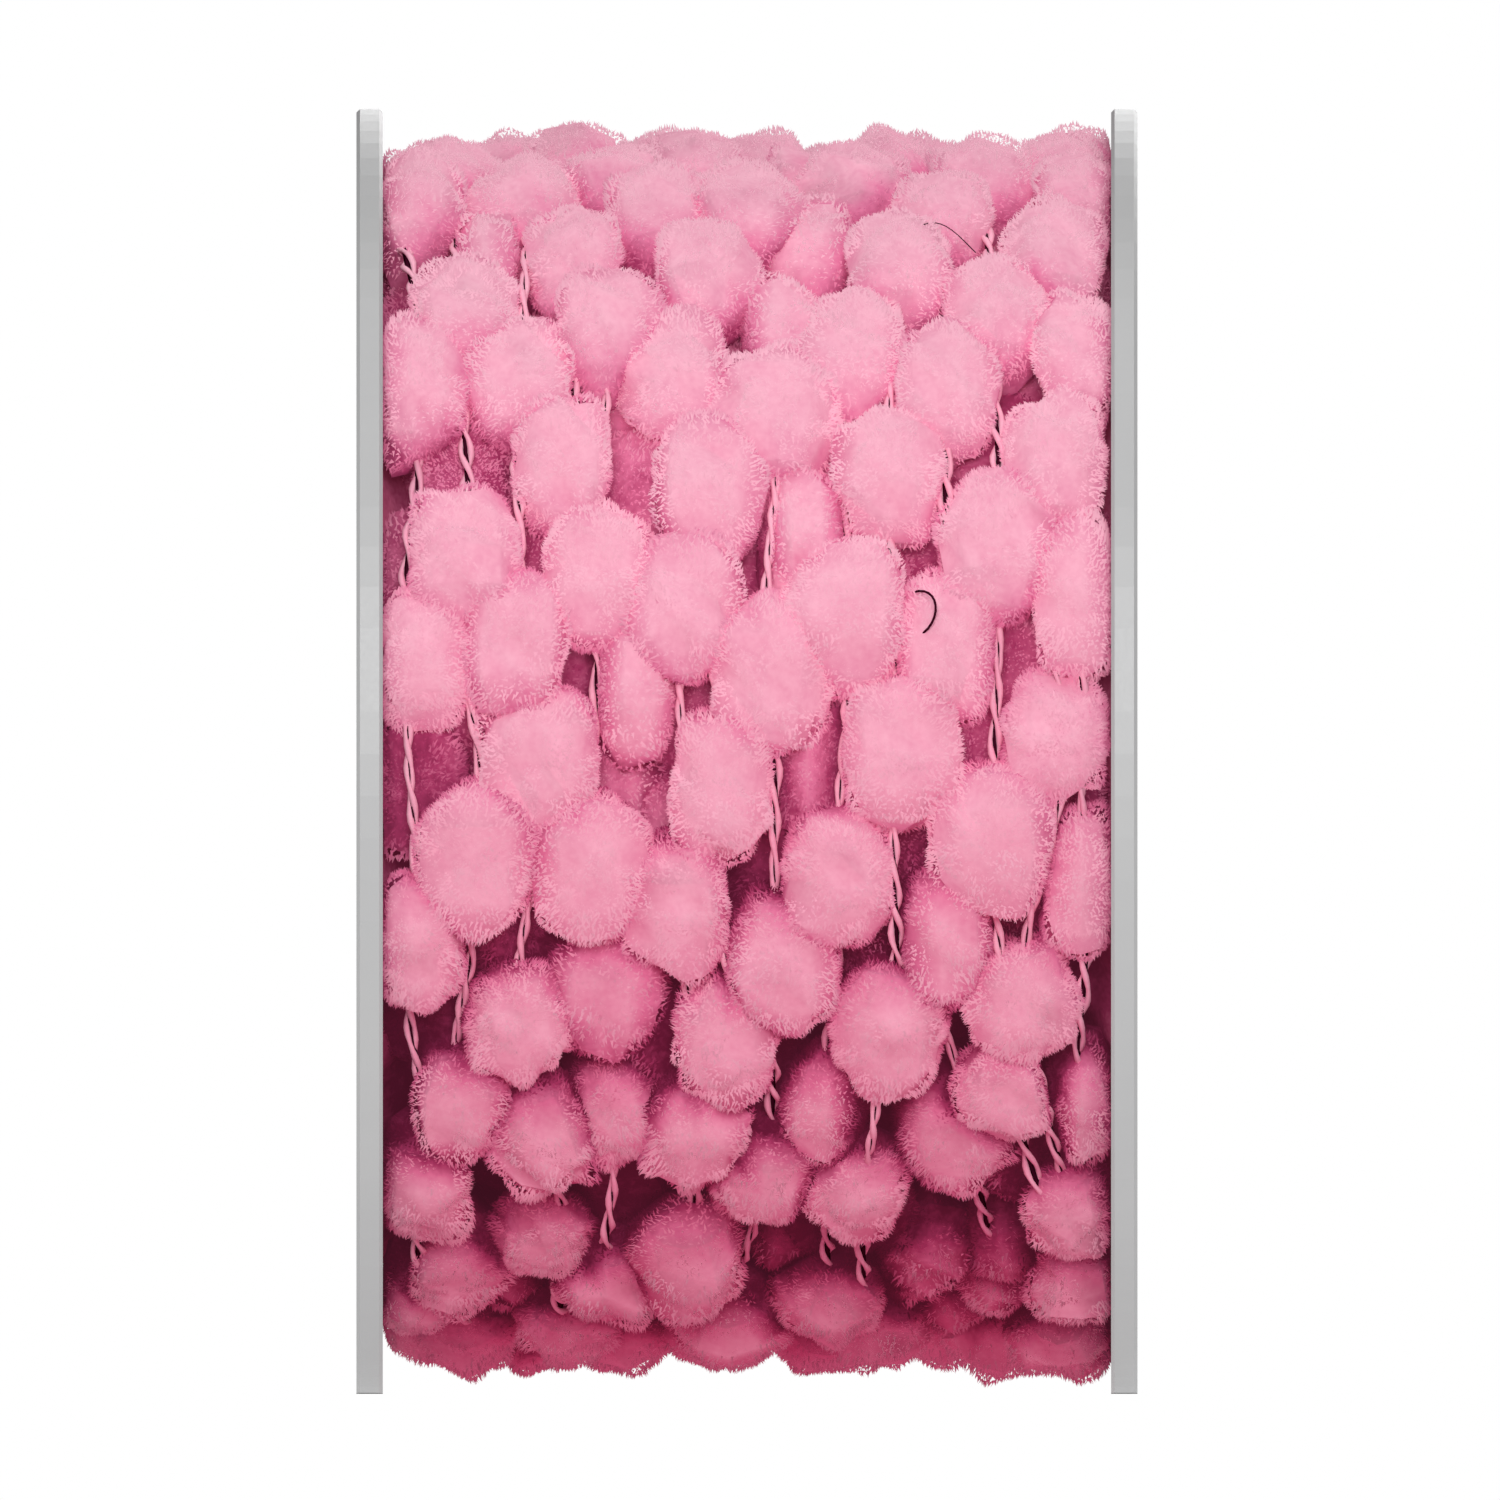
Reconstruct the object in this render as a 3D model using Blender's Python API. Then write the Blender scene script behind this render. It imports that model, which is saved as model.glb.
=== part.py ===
"""Pompom trim wound on a flanged reel, in metres, +Z up.

The reel stands on its rims with its axis along X. The origin is under the middle of the reel, on the surface
it stands on. Two moulded flanges sit on the shouldered ends of a barrel, and the trim is wound on the barrel
between them. The trim is a thread with a fluffy pompom every 24 mm; its outer turns are the bumps of the
winding.
"""

import math
from collections import namedtuple

import bmesh
import bpy
from mathutils import Vector

MM = 0.001

# Reel
FLANGE_RADIUS = 55 * MM
FLANGE_THICKNESS = 2.25 * MM
INSIDE_WIDTH = 62.1 * MM
RIM_DEPTH = 3 * MM
WEB_THICKNESS = 1.3 * MM
HUB_RING_RADIUS = 23.5 * MM
BARREL_RADIUS = 20.6 * MM
BARREL_END_RADIUS = 19.4 * MM
BORE_RADIUS = 18 * MM
EDGE_CHAMFER = 0.3 * MM
FLAT_SPOT_WIDTH = 14 * MM
FIT_GAP = 0.3 * MM
REEL_SEGMENTS = 96

# Trim
POMPOM_RADIUS = 5 * MM
BUMP_REACH = 6.4 * MM
POMPOM_STEP_DEG = 28.7
LAYER_START_DEG = 20
OUTER_TURN_RADIUS = 48 * MM
VALLEY_RADIUS = 44.5 * MM
SHOULDER_DROP = 3 * MM
WINDING_SEGMENTS = 120
WINDING_STATIONS = 27

# The outer turns of the trim, from the left flange to the right. A turn's place across the reel is given in
# millimetres from the middle at 30, 90 and 150 degrees from the top, down the front. One of its pompoms lies
# at pompom degrees, and the turn lies sunk millimetres into the winding.
Turn = namedtuple("Turn", "upper front lower pompom sunk")
TURNS = [
    Turn(-28.4, -28.2, -26.6, 80, 0.8),
    Turn(-24.7, -23.1, -23.7, 73, 0.0),
    Turn(-18.6, -20.4, -16.1, 76, 1.8),
    Turn(-14.2, -16.0, -17.6, 88, 0.6),
    Turn(-10.5, -12.7, -8.8, 74, 0.0),
    Turn(-7.4, -6.5, -3.4, 75, 1.0),
    Turn(-3.6, -2.6, -4.6, 94, 0.5),
    Turn(-0.6, 2.9, 1.0, 82, 0.0),
    Turn(8.0, 7.6, 6.1, 74, 0.8),
    Turn(11.8, 13.5, 10.2, 88, 0.0),
    Turn(16.7, 17.3, 17.2, 80, 2.2),
    Turn(21.0, 22.3, 23.6, 99, 0.0),
    Turn(25.4, 27.0, 26.6, 89, 0.4),
    Turn(28.4, 28.4, 28.4, 74, 1.2),
]
FRONT_ANGLES = (30, 90, 150)

MATERIALS = {
    "reel_plastic": ((0.52, 0.52, 0.52, 1), 0.45),
    "pompom_yarn": ((0.93, 0.40, 0.57, 1), 0.95),
}

flat_spot_depth = FLANGE_RADIUS - math.sqrt(FLANGE_RADIUS**2 - (FLAT_SPOT_WIDTH / 2) ** 2)
AXIS_HEIGHT = FLANGE_RADIUS - flat_spot_depth


def clear_scene():
    for leftover in list(bpy.data.objects):
        bpy.data.objects.remove(leftover)


def material(name):
    """The named material, made when it is first asked for."""
    if name in bpy.data.materials:
        return bpy.data.materials[name]
    colour, roughness = MATERIALS[name]
    made = bpy.data.materials.new(name)
    made.use_nodes = True
    shader = made.node_tree.nodes["Principled BSDF"]
    shader.inputs["Base Color"].default_value = colour
    shader.inputs["Roughness"].default_value = roughness
    shader.inputs["Metallic"].default_value = 0
    return made


def turned(profile, segments):
    """A solid turned about the X axis from a closed profile of (x, radius) points, as a bmesh."""
    shape = bmesh.new()
    points = [shape.verts.new((x, 0, radius)) for x, radius in profile]
    edges = [shape.edges.new((a, b)) for a, b in zip(points, points[1:] + points[:1])]
    bmesh.ops.spin(
        shape,
        geom=points + edges,
        cent=(0, 0, 0),
        axis=(1, 0, 0),
        angle=2 * math.pi,
        steps=segments,
        use_merge=True,
    )
    bmesh.ops.remove_doubles(shape, verts=shape.verts, dist=0.01 * MM)
    bmesh.ops.recalc_face_normals(shape, faces=shape.faces)
    return shape


def finished(name, shape, material_name, location):
    """The bmesh as a named object with its material, round faces shaded smooth."""
    mesh = bpy.data.meshes.new(name)
    shape.to_mesh(mesh)
    shape.free()
    mesh.materials.append(material(material_name))
    mesh.shade_smooth()
    mesh.set_sharp_from_angle(angle=math.radians(35))
    made = bpy.data.objects.new(name, mesh)
    made.location = location
    bpy.context.collection.objects.link(made)
    return made


def flange(name, side):
    """One flange: a thin web, a thicker rim and a ring round the barrel's end. Side is -1 left, 1 right."""
    inner, outer = INSIDE_WIDTH / 2, INSIDE_WIDTH / 2 + FLANGE_THICKNESS
    web_face = inner + WEB_THICKNESS
    hole_radius = BARREL_END_RADIUS + FIT_GAP
    rim_inner_radius = FLANGE_RADIUS - RIM_DEPTH
    profile = [
        (inner, hole_radius),
        (outer, hole_radius),
        (outer, HUB_RING_RADIUS),
        (web_face, HUB_RING_RADIUS + EDGE_CHAMFER),
        (web_face, rim_inner_radius - EDGE_CHAMFER),
        (outer, rim_inner_radius),
        (outer, FLANGE_RADIUS - EDGE_CHAMFER),
        (outer - EDGE_CHAMFER, FLANGE_RADIUS),
        (inner + EDGE_CHAMFER, FLANGE_RADIUS),
        (inner, FLANGE_RADIUS - EDGE_CHAMFER),
    ]
    shape = turned([(side * x, radius) for x, radius in profile], REEL_SEGMENTS)
    cut_flat_spot(shape)
    return finished(name, shape, "reel_plastic", (0, 0, AXIS_HEIGHT))


def cut_flat_spot(shape):
    """Cuts the rim flat where the reel stands."""
    cut = bmesh.ops.bisect_plane(
        shape,
        geom=shape.verts[:] + shape.edges[:] + shape.faces[:],
        plane_co=(0, 0, -AXIS_HEIGHT),
        plane_no=(0, 0, -1),
        clear_outer=True,
    )
    rim = [item for item in cut["geom_cut"] if isinstance(item, bmesh.types.BMEdge)]
    bmesh.ops.contextual_create(shape, geom=rim)
    bmesh.ops.recalc_face_normals(shape, faces=shape.faces)


def barrel():
    """The barrel: a tube whose ends step down and pass through the flanges."""
    shoulder = INSIDE_WIDTH / 2 - FIT_GAP
    end = INSIDE_WIDTH / 2 + FLANGE_THICKNESS
    profile = [
        (-end, BORE_RADIUS),
        (end, BORE_RADIUS),
        (end, BARREL_END_RADIUS),
        (shoulder, BARREL_END_RADIUS),
        (shoulder, BARREL_RADIUS),
        (-shoulder, BARREL_RADIUS),
        (-shoulder, BARREL_END_RADIUS),
        (-end, BARREL_END_RADIUS),
    ]
    return finished("barrel", turned(profile, REEL_SEGMENTS), "reel_plastic", (0, 0, AXIS_HEIGHT))


def turn_at(angle):
    """Index of the turn at an angle in degrees, counted on by 360 a turn from the top of the first turn."""
    return min(max(int((angle - FRONT_ANGLES[0]) // 360), 0), len(TURNS) - 1)


def place_across(angle):
    """Metres across the reel of the trim at an angle counted on from the top of the first turn.

    Down the front it passes through its turn's three places. Round the back it eases over to the upper place
    of the next turn, so the whole layer is one run of trim.
    """
    index = turn_at(angle)
    turn = TURNS[index]
    following = TURNS[min(index + 1, len(TURNS) - 1)]
    places = (turn.upper, turn.front, turn.lower, following.upper)
    angles = (*FRONT_ANGLES, FRONT_ANGLES[0] + 360)
    angle = max(angle - 360 * index, angles[0])
    for start, end, here, there in zip(angles, angles[1:], places, places[1:]):
        if angle <= end:
            share = (angle - start) / (end - start)
            ease = share * share * (3 - 2 * share)
            return (here + (there - here) * ease) * MM
    return places[-1] * MM


def pompom_angles():
    """The angle of each outer pompom, counted on from the top of the first turn.

    One lies at each turn's own pompom angle. The others are evenly spaced between, about a step apart.
    """
    stops = [LAYER_START_DEG]
    stops += [360 * index + turn.pompom for index, turn in enumerate(TURNS)]
    stops += [360 * len(TURNS) + LAYER_START_DEG]
    angles = []
    for start, end in zip(stops, stops[1:]):
        count = round((end - start) / POMPOM_STEP_DEG)
        angles += [start + (end - start) * step / count for step in range(count)]
    return angles


def pompom_centres():
    """Each outer pompom as (metres across the reel, angle in radians, distance from the axis)."""
    return [
        (place_across(angle), math.radians(angle), OUTER_TURN_RADIUS - TURNS[turn_at(angle)].sunk * MM)
        for angle in pompom_angles()
    ]


def bump_height(across, angle, centres):
    """Distance from the axis of the winding's surface: the valley floor, or the pompom that stands proud.

    A bump is a quarter wave of cosine, from the pompom's top down to the valley floor at BUMP_REACH.
    """
    edge = INSIDE_WIDTH / 2 - abs(across)
    floor = VALLEY_RADIUS - SHOULDER_DROP * math.exp(-edge / POMPOM_RADIUS)
    height = floor
    for centre_across, centre_angle, centre_radius in centres:
        turned_by = (angle - centre_angle + math.pi) % (2 * math.pi) - math.pi
        off_centre = math.hypot(across - centre_across, centre_radius * turned_by)
        if off_centre < BUMP_REACH:
            lift = centre_radius + POMPOM_RADIUS - floor
            height = max(height, floor + lift * math.cos(math.pi / 2 * off_centre / BUMP_REACH))
    return height


def winding():
    """The wound trim: one ring round the barrel, with a bump for each pompom of the outer turns."""
    half_width = INSIDE_WIDTH / 2 - FIT_GAP
    inner_radius = BARREL_RADIUS + FIT_GAP
    outer_face = [
        (half_width - 2 * half_width * station / (WINDING_STATIONS - 1), VALLEY_RADIUS)
        for station in range(WINDING_STATIONS)
    ]
    profile = [(-half_width, inner_radius), (half_width, inner_radius), *outer_face]
    shape = turned(profile, WINDING_SEGMENTS)
    centres = pompom_centres()
    for vertex in shape.verts:
        radius = math.hypot(vertex.co.y, vertex.co.z)
        if radius < VALLEY_RADIUS - POMPOM_RADIUS:
            continue
        angle = math.atan2(-vertex.co.y, vertex.co.z)
        height = bump_height(vertex.co.x, angle, centres)
        direction = Vector((0, vertex.co.y, vertex.co.z)) / radius
        vertex.co = Vector((vertex.co.x, 0, 0)) + direction * height
    return finished("winding", shape, "pompom_yarn", (0, 0, AXIS_HEIGHT))


def main():
    clear_scene()
    flange("flange_left", -1)
    flange("flange_right", 1)
    barrel()
    winding()


main()
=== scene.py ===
# %% [markdown]
# # Pompom trim on a reel
#
# The object is a length of trim: a thread with a fluffy pompom every 24 mm, wound in layers on a plastic
# reel. The CAD model gives the reel and one plain solid for the wound trim. This script keeps the reel's
# own pieces and puts real pompoms, pile and thread in place of the plain solid. Lengths are in metres.

from collections import namedtuple

import bpy
import numpy as np
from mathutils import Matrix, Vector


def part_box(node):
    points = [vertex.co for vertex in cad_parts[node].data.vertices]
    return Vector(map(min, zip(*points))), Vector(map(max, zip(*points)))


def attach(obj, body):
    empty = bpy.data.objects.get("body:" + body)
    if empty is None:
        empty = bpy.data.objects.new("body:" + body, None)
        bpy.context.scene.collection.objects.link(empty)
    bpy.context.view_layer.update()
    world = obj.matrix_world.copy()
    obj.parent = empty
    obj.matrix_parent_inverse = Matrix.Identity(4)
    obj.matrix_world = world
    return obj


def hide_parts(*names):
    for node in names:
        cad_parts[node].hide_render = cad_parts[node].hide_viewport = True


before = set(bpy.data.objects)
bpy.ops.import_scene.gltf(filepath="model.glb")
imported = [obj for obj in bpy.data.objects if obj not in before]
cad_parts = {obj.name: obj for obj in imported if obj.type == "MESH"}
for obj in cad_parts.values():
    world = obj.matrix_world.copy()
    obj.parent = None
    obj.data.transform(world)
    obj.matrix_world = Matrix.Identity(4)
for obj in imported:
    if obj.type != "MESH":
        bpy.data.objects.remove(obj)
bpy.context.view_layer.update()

# %% Sizes that come from the reel
MM = 0.001
flange_low, flange_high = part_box("flange_left")
FLANGE_RADIUS = (flange_high.y - flange_low.y) / 2
AXIS_HEIGHT = flange_high.z - FLANGE_RADIUS
INSIDE_HALF = -flange_high.x
print("height of the axis in mm:", round(AXIS_HEIGHT / MM, 2))
print("room between the flanges in mm:", round(2 * INSIDE_HALF / MM, 2))

# %% [markdown]
# ## Camera
#
# Both flanges are seen exactly edge-on, which a lens can only do from very far away. An orthographic
# camera does it from anywhere, because all its rays are parallel. Its scale is the width that it takes in.

# %% Camera
VIEW_WIDTH = 127.9 * MM
CAMERA_ASIDE = 0.26 * MM
CAMERA_ABOVE_AXIS = 0.34 * MM
CAMERA_DISTANCE = 1.2

camera_data = bpy.data.cameras.new("studio_camera")
camera_data.type = "ORTHO"
camera_data.ortho_scale = VIEW_WIDTH
camera_data.clip_end = 30
camera = bpy.data.objects.new("studio_camera", camera_data)
camera.location = (CAMERA_ASIDE, -CAMERA_DISTANCE, AXIS_HEIGHT + CAMERA_ABOVE_AXIS)
camera.rotation_euler = (np.pi / 2, 0, 0)
bpy.context.collection.objects.link(camera)
bpy.context.scene.camera = camera
print("camera takes in", round(VIEW_WIDTH / MM, 1), "mm across")

# %% [markdown]
# ## Colours and nodes
#
# A colour picked on a screen is sRGB, and a shader wants linear light. One function turns the first into
# the second. Another adds any node with its settings and links, so that each material reads as a short
# recipe.

# %% Colour and node helpers
MIX_FACTOR, MIX_A, MIX_B, MIX_RESULT = 0, 6, 7, 2


def linear(hex_colour):
    """Linear RGBA of an sRGB hex colour: a straight line near black, and a power of 2.4 above it."""
    share = np.array([int(hex_colour[i : i + 2], 16) for i in (1, 3, 5)]) / 255
    light = np.where(share <= 0.04045, share / 12.92, ((share + 0.055) / 1.055) ** 2.4)
    return (*light.tolist(), 1)


def add_node(tree, kind, inputs=None, **settings):
    """A node of a kind. Settings become its properties. An input takes a value or another node's socket."""
    node = tree.nodes.new(kind)
    for name, value in settings.items():
        setattr(node, name, value)
    for name, value in (inputs or {}).items():
        if isinstance(value, bpy.types.NodeSocket):
            tree.links.new(value, node.inputs[name])
        else:
            node.inputs[name].default_value = value
    return node


def new_material(name):
    """An empty material with its output node, and its node tree."""
    made = bpy.data.materials.new(name)
    made.use_nodes = True
    made.node_tree.nodes.clear()
    return made, made.node_tree


def show(tree, shader):
    """Links a shader to the material's output."""
    add_node(tree, "ShaderNodeOutputMaterial", {"Surface": shader})


print("#808080 on a screen is", round(linear("#808080")[0], 3), "in linear light")

# %% [markdown]
# ## Studio
#
# A pale floor and soft light. The light that shapes the pompoms comes from in front and above, so each one
# is bright on top and falls off below. The floor is pale to the camera, but it throws little light back
# up, because that would wash out the shade under the lower turns. The last lights are added when the
# pieces are there.

# %% Floor
FLOOR_HALF = 6
FLOOR_SEEN = linear("#FFFFFF")
FLOOR_BOUNCE = linear("#707070")
FLOOR_GLOW = 0.72


def studio_floor():
    """A square of floor at height 0, pale to the camera and darker to light that bounces."""
    made, tree = new_material("matt_paper_floor")
    to_camera = add_node(tree, "ShaderNodeLightPath").outputs["Is Camera Ray"]
    paper = add_node(tree, "ShaderNodeBsdfDiffuse", {"Color": FLOOR_BOUNCE})
    glow = add_node(tree, "ShaderNodeEmission", {"Color": FLOOR_SEEN, "Strength": FLOOR_GLOW})
    pale = add_node(tree, "ShaderNodeAddShader", {0: paper.outputs[0], 1: glow.outputs[0]})
    seen = add_node(tree, "ShaderNodeMixShader", {0: to_camera, 1: paper.outputs[0], 2: pale.outputs[0]})
    show(tree, seen.outputs[0])
    corners = [(-FLOOR_HALF, -FLOOR_HALF, 0), (FLOOR_HALF, -FLOOR_HALF, 0)]
    corners += [(FLOOR_HALF, FLOOR_HALF, 0), (-FLOOR_HALF, FLOOR_HALF, 0)]
    mesh = bpy.data.meshes.new("floor")
    mesh.from_pydata(corners, [], [(0, 1, 2, 3)])
    mesh.materials.append(made)
    floor = bpy.data.objects.new("floor", mesh)
    bpy.context.collection.objects.link(floor)


studio_floor()
print("floor", 2 * FLOOR_HALF, "m across")

# %% Lights
SKY_FILL = 0.26
FRONT_PLACE = (0.0, -2.2, 0.72)
FRONT_SIZE = 1.0
FRONT_POWER = 35
BACK_PLACE = (0.6, 2.0, 1.1)
BACK_SIZE = 1.6
BACK_POWER = 26
TOP_PLACE = (0.0, -0.4, 2.2)
TOP_SIZE = 1.6
TOP_POWER = 18


def soft_light(name, place, size, power):
    """A square soft light aimed at the middle of the reel."""
    data = bpy.data.lights.new(name, "AREA")
    data.shape = "SQUARE"
    data.size = size
    data.energy = power
    light = bpy.data.objects.new(name, data)
    light.location = place
    toward = np.array([0, 0, AXIS_HEIGHT]) - np.array(place)
    tilt = np.arctan2(np.hypot(toward[0], toward[1]), -toward[2])
    light.rotation_euler = (tilt, 0, np.arctan2(-toward[0], toward[1]))
    bpy.context.collection.objects.link(light)


def studio_sky():
    """White to the camera, and an even fill from all round for everything else."""
    world = bpy.data.worlds.new("studio")
    world.use_nodes = True
    tree = world.node_tree
    tree.nodes.clear()
    to_camera = add_node(tree, "ShaderNodeLightPath").outputs["Is Camera Ray"]
    fill = add_node(tree, "ShaderNodeBackground", {"Strength": SKY_FILL})
    white = add_node(tree, "ShaderNodeBackground", {"Color": linear("#FFFFFF"), "Strength": 1.0})
    sky = add_node(tree, "ShaderNodeMixShader", {0: to_camera, 1: fill.outputs[0], 2: white.outputs[0]})
    add_node(tree, "ShaderNodeOutputWorld", {"Surface": sky.outputs[0]})
    bpy.context.scene.world = world


soft_light("front_softbox", FRONT_PLACE, FRONT_SIZE, FRONT_POWER)
soft_light("top_softbox", TOP_PLACE, TOP_SIZE, TOP_POWER)
soft_light("back_softbox", BACK_PLACE, BACK_SIZE, BACK_POWER)
studio_sky()
bpy.context.scene.view_settings.view_transform = "Standard"
print("three soft lights, of", FRONT_POWER, TOP_POWER, "and", BACK_POWER, "W, in an even fill of", SKY_FILL)

# %% [markdown]
# ## The reel's plastic
#
# The flanges and the barrel are moulded grey polystyrene. Moulded plastic has a satin skin, which a fine
# spark-eroded texture in the mould leaves: a grain that is rough by turns. Its grey is almost even, so
# slow patches a touch lighter and darker are enough.

# %% Moulded polystyrene
GRAIN_PER_METRE = 1 / (0.35 * MM)
PATCH_PER_METRE = 1 / (14 * MM)
GRAIN_DEPTH = 0.05 * MM
GRAIN_STRENGTH = 0.12
SATIN = {"To Min": 0.38, "To Max": 0.54}


def moulded_polystyrene():
    """Grey moulded plastic: a satin grain of 0.35 mm, and its grey in slow patches of 14 mm."""
    made, tree = new_material("moulded_polystyrene")
    place = add_node(tree, "ShaderNodeTexCoord").outputs["Object"]
    grain = add_node(tree, "ShaderNodeTexNoise", {"Vector": place, "Scale": GRAIN_PER_METRE, "Detail": 3.0})
    patch = add_node(tree, "ShaderNodeTexNoise", {"Vector": place, "Scale": PATCH_PER_METRE, "Detail": 1.0})
    colour = add_node(
        tree,
        "ShaderNodeMix",
        {MIX_FACTOR: patch.outputs[0], MIX_A: linear("#A2A2A3"), MIX_B: linear("#AAAAAA")},
        data_type="RGBA",
    )
    rough = add_node(tree, "ShaderNodeMapRange", {"Value": grain.outputs[0], **SATIN})
    bump = add_node(
        tree,
        "ShaderNodeBump",
        {"Strength": GRAIN_STRENGTH, "Distance": GRAIN_DEPTH, "Height": grain.outputs[0]},
    )
    shader = add_node(
        tree,
        "ShaderNodeBsdfPrincipled",
        {
            "Base Color": colour.outputs[MIX_RESULT],
            "Roughness": rough.outputs[0],
            "Normal": bump.outputs[0],
            "IOR": 1.59,
        },
    )
    show(tree, shader.outputs[0])
    return made


plastic = moulded_polystyrene()
for name in ("flange_left", "flange_right", "barrel"):
    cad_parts[name].data.materials.clear()
    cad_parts[name].data.materials.append(plastic)
print("plastic on the flanges and the barrel")

# %% [markdown]
# ## Where the trim runs
#
# The outer layer is one run of trim, fourteen turns from the left flange to the right. A turn wanders a
# little as it goes down the front, so a short table gives its place across the reel at three angles, in
# millimetres. It also gives the angle of one of its pompoms and how deep the turn is sunk. Angles are in
# degrees from the top, down the front, and go on counting by 360 for each turn. Wound trim sags where
# nothing presses it on, so down the lower front the pompoms lie slack: smaller, deeper and astray. How far
# a place lies in the shade is a function of its angle too.

# %% The outer turns
Turn = namedtuple("Turn", "upper front lower pompom sunk")
TURNS = [
    Turn(-28.4, -28.2, -26.6, 80, 0.8),
    Turn(-24.7, -23.1, -23.7, 73, 0.0),
    Turn(-18.6, -20.4, -16.1, 76, 1.8),
    Turn(-14.2, -16.0, -17.6, 88, 0.6),
    Turn(-10.5, -12.7, -8.8, 74, 0.0),
    Turn(-7.4, -6.5, -3.4, 75, 1.0),
    Turn(-3.6, -2.6, -4.6, 94, 0.5),
    Turn(-0.6, 2.9, 1.0, 82, 0.0),
    Turn(8.0, 7.6, 6.1, 74, 0.8),
    Turn(11.8, 13.5, 10.2, 88, 0.0),
    Turn(16.7, 17.3, 17.2, 80, 2.2),
    Turn(21.0, 22.3, 23.6, 99, 0.0),
    Turn(25.4, 27.0, 26.6, 89, 0.4),
    Turn(28.4, 28.4, 28.4, 74, 1.2),
]
FRONT_ANGLES = np.array([30, 90, 150])
POMPOM_STEP_DEG = 28.7
LAYER_START_DEG = 20
LOOSE_FROM = 98
LOOSE_TO = 195
LOOSE_EASE = 30
LOOSE_SUNK = 2.0 * MM
LOOSE_SMALLER = 0.11
LOOSE_ASTRAY = 2.2 * MM
SHADY_ANGLES = (90, 138, 175, 215)
OUTER_TURN_RADIUS = 47.6 * MM


def place_across(angle):
    """Metres across the reel at each angle: smooth steps between the table's places, turn after turn."""
    knots = (FRONT_ANGLES + 360 * np.arange(len(TURNS))[:, None]).ravel()
    places = np.array([(turn.upper, turn.front, turn.lower) for turn in TURNS]).ravel()
    angle = np.clip(angle, knots[0], knots[-1])
    here = np.clip(np.searchsorted(knots, angle, side="right") - 1, 0, len(knots) - 2)
    share = (angle - knots[here]) / (knots[here + 1] - knots[here])
    ease = share * share * (3 - 2 * share)
    return (places[here] + (places[here + 1] - places[here]) * ease) * MM


def pompom_angles():
    """The angle of each outer pompom: one at each turn's pompom angle, the others evenly spaced between."""
    stops = [LAYER_START_DEG]
    stops += [360 * index + turn.pompom for index, turn in enumerate(TURNS)]
    stops += [360 * len(TURNS) + LAYER_START_DEG]
    runs = [
        np.linspace(start, end, round((end - start) / POMPOM_STEP_DEG), endpoint=False)
        for start, end in zip(stops, stops[1:])
    ]
    return np.concatenate(runs)


def on_reel(across, angle_deg, radius):
    """Points from places across the reel, angles from the top down the front, and radii from the axis."""
    angle = np.radians(angle_deg)
    height = AXIS_HEIGHT + radius * np.cos(angle)
    return np.stack([across + 0 * radius, -radius * np.sin(angle), height], axis=-1)


outer_angles = pompom_angles()
outer_turn = np.clip((outer_angles - FRONT_ANGLES[0]) // 360, 0, len(TURNS) - 1).astype(int)


def looseness(angles):
    """How slack the trim lies: 1 down the lower front, easing to 0 over 30 degrees above and below it."""
    down = angles % 360
    shares = np.clip([(down - LOOSE_FROM) / LOOSE_EASE, (LOOSE_TO - down) / LOOSE_EASE], 0, 1)
    return shares.min(0)


def shadiness(angles):
    """How far a place lies in the shade: 0 above the middle of the front, 1 under the reel."""
    return np.interp(angles % 360, SHADY_ANGLES, (0, 1, 1, 0))


size_rng = np.random.default_rng(11)
outer_loose = looseness(outer_angles)
outer_sunk = np.array([turn.sunk for turn in TURNS])[outer_turn] * MM
outer_sunk = outer_sunk + LOOSE_SUNK * outer_loose * size_rng.random(len(outer_angles))
astray = LOOSE_ASTRAY * outer_loose * size_rng.normal(size=(2, len(outer_angles)))
outer_places = outer_angles + np.degrees(astray[1] / OUTER_TURN_RADIUS)
outer_start = on_reel(place_across(outer_angles) + astray[0], outer_places, OUTER_TURN_RADIUS - outer_sunk)
print(len(outer_start), "pompoms in the outer layer")

# %% [markdown]
# ## The layer below
#
# Pompoms of the layer below show between the outer ones. They need no table: they go round at an even
# step, each a little off its line. Where the trim lies slack many are left out, so the gaps there are deep.

# %% The layer below
LOWER_MISSING = (0.0, 0.65)
LOWER_TURN_RADII = (45.4 * MM, 43.6 * MM)
LOWER_STEP_DEG = 23.4
LOWER_EDGE = 27.5 * MM
LOWER_JITTER = 1.3 * MM
rng = np.random.default_rng(7)

lower_angles = np.arange(0, 360 * len(TURNS), LOWER_STEP_DEG)
lower_missing = np.interp(looseness(lower_angles), [0, 1], LOWER_MISSING)
lower_angles = lower_angles[rng.random(len(lower_angles)) > lower_missing]
lower_across = np.interp(lower_angles, [0, 360 * len(TURNS)], [-LOWER_EDGE, LOWER_EDGE])
lower_across = lower_across + rng.normal(0, LOWER_JITTER, len(lower_angles))
lower_across = np.clip(lower_across, -LOWER_EDGE, LOWER_EDGE)
lower_radius = np.interp(shadiness(lower_angles), (0, 1), LOWER_TURN_RADII)
lower_start = on_reel(lower_across, lower_angles, lower_radius)
print(len(lower_start), "pompoms in the layer below")

# %% [markdown]
# ## Pompoms that make room for each other
#
# Soft balls wound this close push each other aside. Sixty small steps do the same here: each pair
# that is too close is moved apart, each pompom that a thread crosses is moved to the thread's side, and a
# weak pull brings every one back towards its place in the table. The flanges and the winding tension hold
# the edges.

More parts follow.
